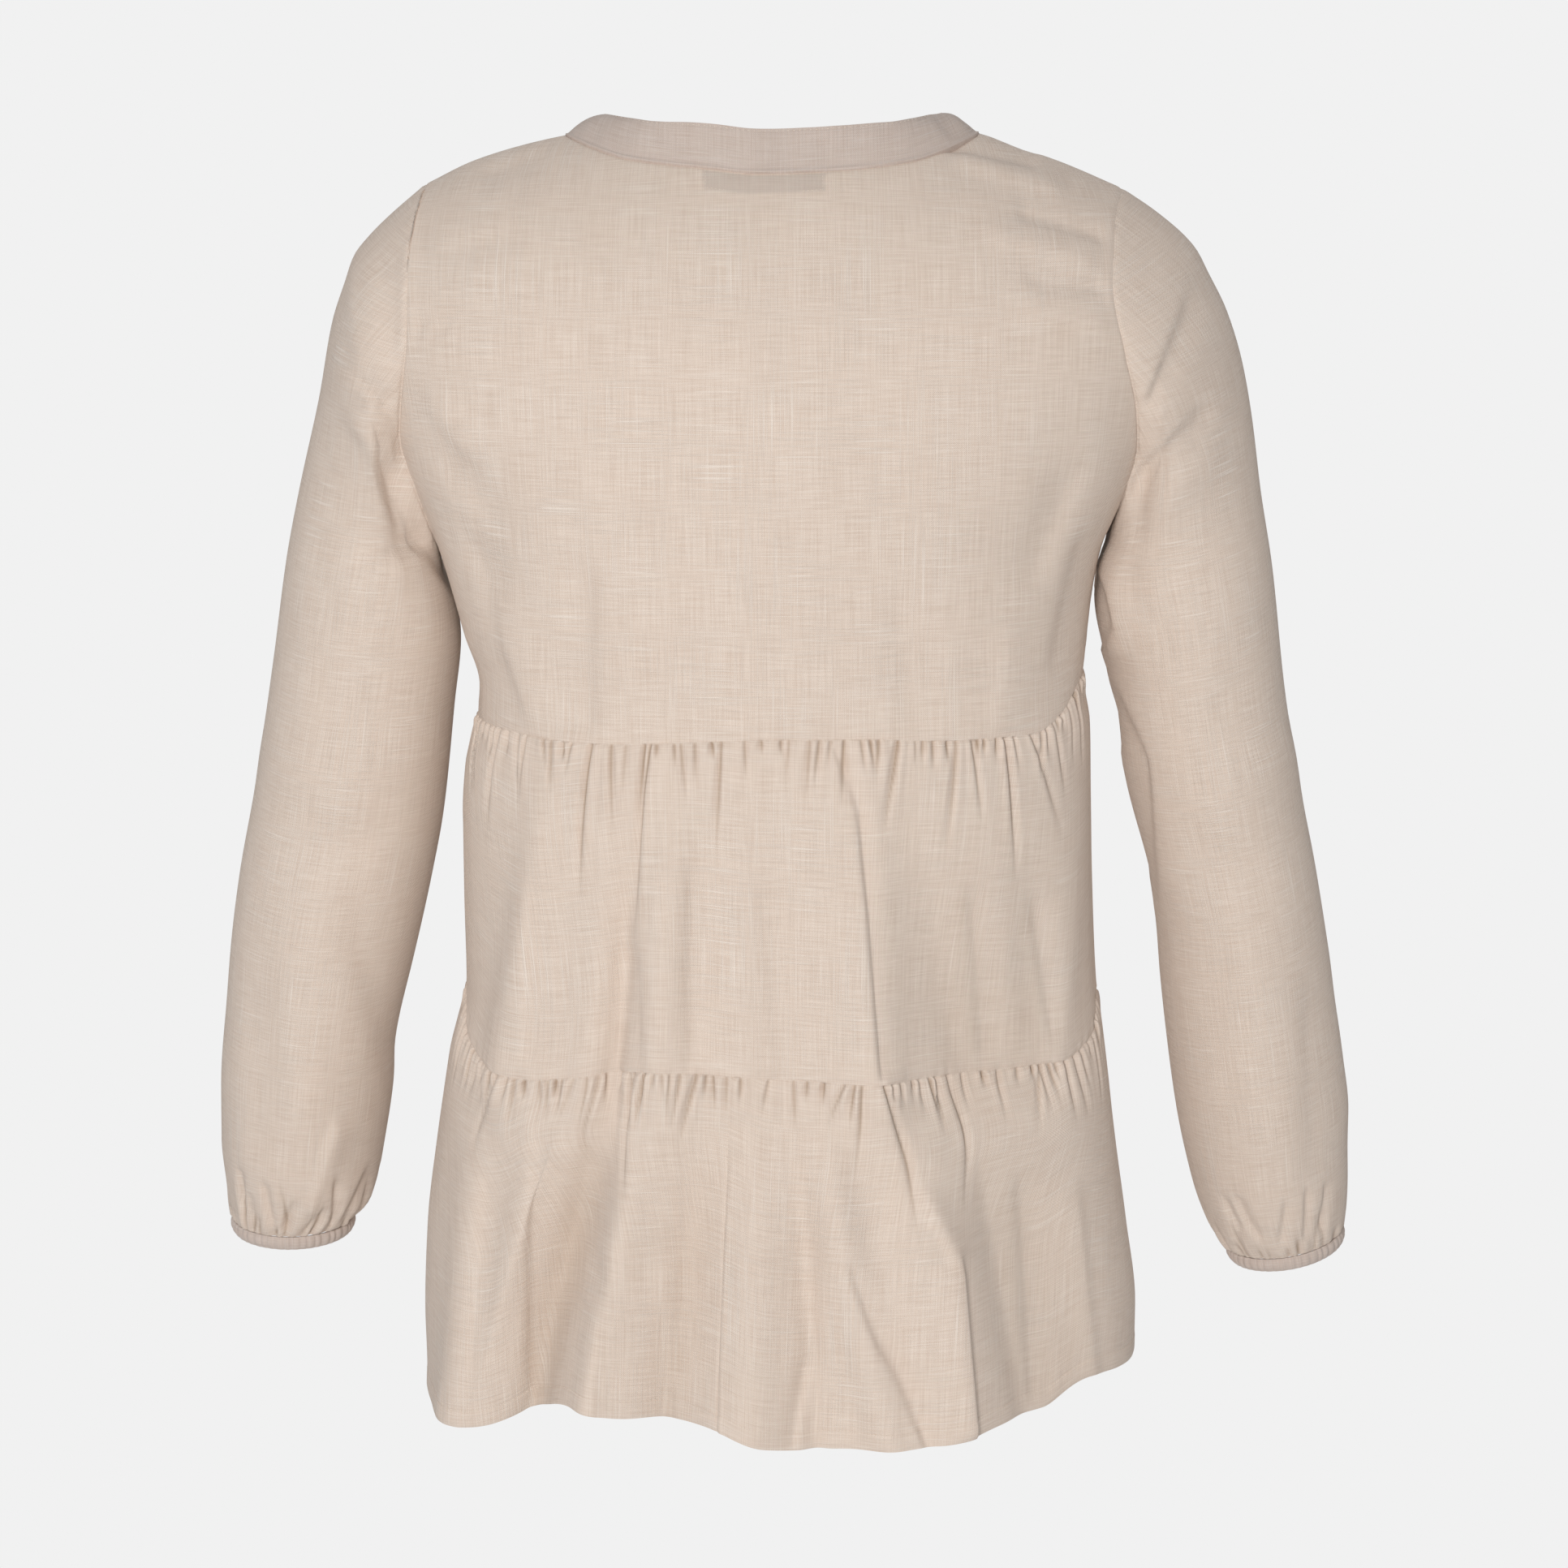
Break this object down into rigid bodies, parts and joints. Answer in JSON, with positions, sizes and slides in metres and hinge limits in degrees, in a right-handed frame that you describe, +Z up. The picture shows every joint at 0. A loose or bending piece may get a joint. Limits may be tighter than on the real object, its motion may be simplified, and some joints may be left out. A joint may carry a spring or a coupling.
{
  "type": "blouse",
  "caption": "Long-sleeved blouse in plain slub cotton with a banded V neck, gathered tiers below the bodice and elastic cuffs, filled out as if worn.",
  "frame": {"origin": "middle of the neck hole, level with the neck ends of the shoulder seams, where the wearer's shoulders or a hanger holds it", "axes": "+Z up, +X towards the wearer's right (to the right when seen from behind), +Y towards the wearer's front"},
  "size_m": [0.6409, 0.2984, 0.7106],
  "materials": {
    "slub_cotton": "matt slub plain weave",
    "label_tape": "matt woven tape"
  },
  "bodies": {
    "root": {"bodice_back": "slub_cotton", "bodice_front": "slub_cotton", "neckband_back": "slub_cotton", "neckband_front": "slub_cotton", "middle_tier_back": "slub_cotton", "middle_tier_front": "slub_cotton", "lower_tier_back_left": "slub_cotton", "lower_tier_back_right": "slub_cotton", "lower_tier_front": "slub_cotton", "sleeve_left": "slub_cotton", "sleeve_right": "slub_cotton", "cuff_left": "slub_cotton", "cuff_right": "slub_cotton", "neck_label": "label_tape"}
  },
  "joints": []
}
